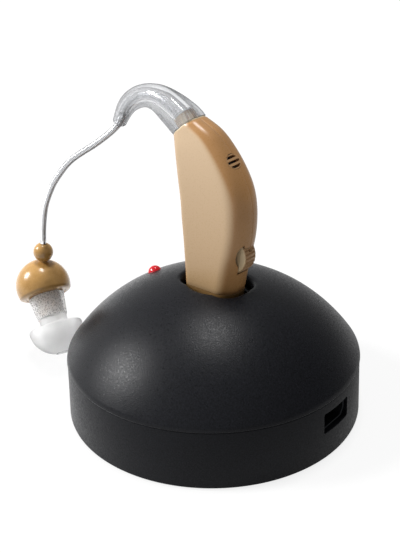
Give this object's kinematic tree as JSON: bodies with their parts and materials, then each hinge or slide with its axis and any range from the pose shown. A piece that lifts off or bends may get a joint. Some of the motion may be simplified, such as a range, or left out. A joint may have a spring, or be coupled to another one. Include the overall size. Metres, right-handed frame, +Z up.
{
  "type": "behind-the-ear hearing amplifier",
  "caption": "Hearing amplifier with clear ear hook, silver lead and soft-tipped earpiece, standing in a round charging base.",
  "frame": {"origin": "centre of the round base, on the surface that it stands on", "axes": "+Z up; +X towards the power socket and the amplifier's spine; -X towards the lamp, the ear hook's tip and the earpiece; +Y to the left when looking along +X"},
  "size_m": [0.0789, 0.0608, 0.0645],
  "materials": {
    "pad_rubber": "matt, fine grain",
    "base_plastic": "matt charcoal with a fine grain",
    "pocket_plastic": "matt near-black",
    "screw_steel": "plain zinc-plated steel",
    "board_green": "solder-masked board",
    "socket_steel": "drawn and plated steel",
    "tongue_plastic": "matt black",
    "lamp_red": "clear red lens",
    "lamp_wire": "tinned wire",
    "pin_gold": "gold-plated",
    "barrel_brass": "bright brass",
    "spring_steel": "spring steel",
    "wire_red": "insulated wire",
    "case_tan": "smooth tan, half gloss",
    "cap_tan": "smooth tan, half gloss",
    "wheel_tan": "smooth tan",
    "mic_metal": "drawn can",
    "chip_black": "moulded package",
    "control_blue": "moulded package",
    "axle_steel": "ground steel",
    "cell_steel": "plated cell can",
    "nozzle_steel": "turned steel",
    "hook_clear": "clear, faintly milky",
    "lead_silver": "silver jacket",
    "receiver_tan": "high-gloss tan",
    "driver_metal": "drawn can",
    "filter_white": "woven mesh",
    "tip_silicone": "clear, faintly milky silicone"
  },
  "bodies": {
    "base": {"non_slip_pad": "pad_rubber", "charger_tray": "base_plastic", "tray_screws": "screw_steel", "charger_dome": "base_plastic", "charger_board": "board_green", "board_screws": "screw_steel", "usb_socket_shell": "socket_steel", "usb_socket_tongue": "tongue_plastic", "charge_led": "lamp_red", "led_leads": "lamp_wire", "cradle_pocket": "pocket_plastic", "pocket_screws": "screw_steel", "pin_barrels": "barrel_brass", "pin_spring_left": "spring_steel", "pin_spring_right": "spring_steel", "contact_wires": "wire_red"},
    "pin_left": {"contact_pin_left": "pin_gold"},
    "pin_right": {"contact_pin_right": "pin_gold"},
    "amplifier": {"case_left": "case_tan", "case_right": "case_tan", "end_cap": "cap_tan", "vent_grille": "case_tan", "microphone": "mic_metal", "amplifier_board": "board_green", "sound_chip": "chip_black", "volume_control": "control_blue", "wheel_axle": "axle_steel", "battery": "cell_steel", "charge_contacts": "pin_gold", "contact_posts": "pin_gold", "hook_nozzle": "nozzle_steel", "ear_hook": "hook_clear", "inner_wire": "lamp_wire", "sound_lead": "lead_silver", "lead_bead": "receiver_tan"},
    "wheel": {"volume_wheel": "wheel_tan"},
    "receiver": {"receiver_shell": "receiver_tan", "receiver_spout": "receiver_tan", "receiver_driver": "driver_metal", "wax_filter": "filter_white"},
    "tip": {"ear_tip": "tip_silicone"}
  },
  "joints": [
    {"name": "amplifier_lift", "type": "slide", "parent": "base", "child": "amplifier", "axis": [0, 0, 1], "range_m": [0, 0.04]},
    {"name": "contact_left_press", "type": "slide", "parent": "base", "child": "pin_left", "axis": [0, 0, -1], "range_m": [0, 0.0005], "stiffness_N_per_m": 100, "deforming": ["pin_spring_left"]},
    {"name": "contact_right_press", "type": "slide", "parent": "base", "child": "pin_right", "axis": [0, 0, -1], "range_m": [0, 0.0005], "stiffness_N_per_m": 100, "deforming": ["pin_spring_right"]},
    {"name": "volume_turn", "type": "hinge", "parent": "amplifier", "child": "wheel", "pos_m": [0.006, 0, 0.0349], "axis": [0, 1, 0], "range_deg": [-135, 135]},
    {"name": "receiver_swivel", "type": "hinge", "parent": "amplifier", "child": "receiver", "pos_m": [-0.0424, -0.0093, 0.017], "axis": [0.0789, 0.0686, 0.9945], "range_deg": [-45, 45]},
    {"name": "ear_tip_pull", "type": "slide", "parent": "receiver", "child": "tip", "axis": [0.5939, -0.246, -0.766], "range_m": [0, 0.003]}
  ]
}
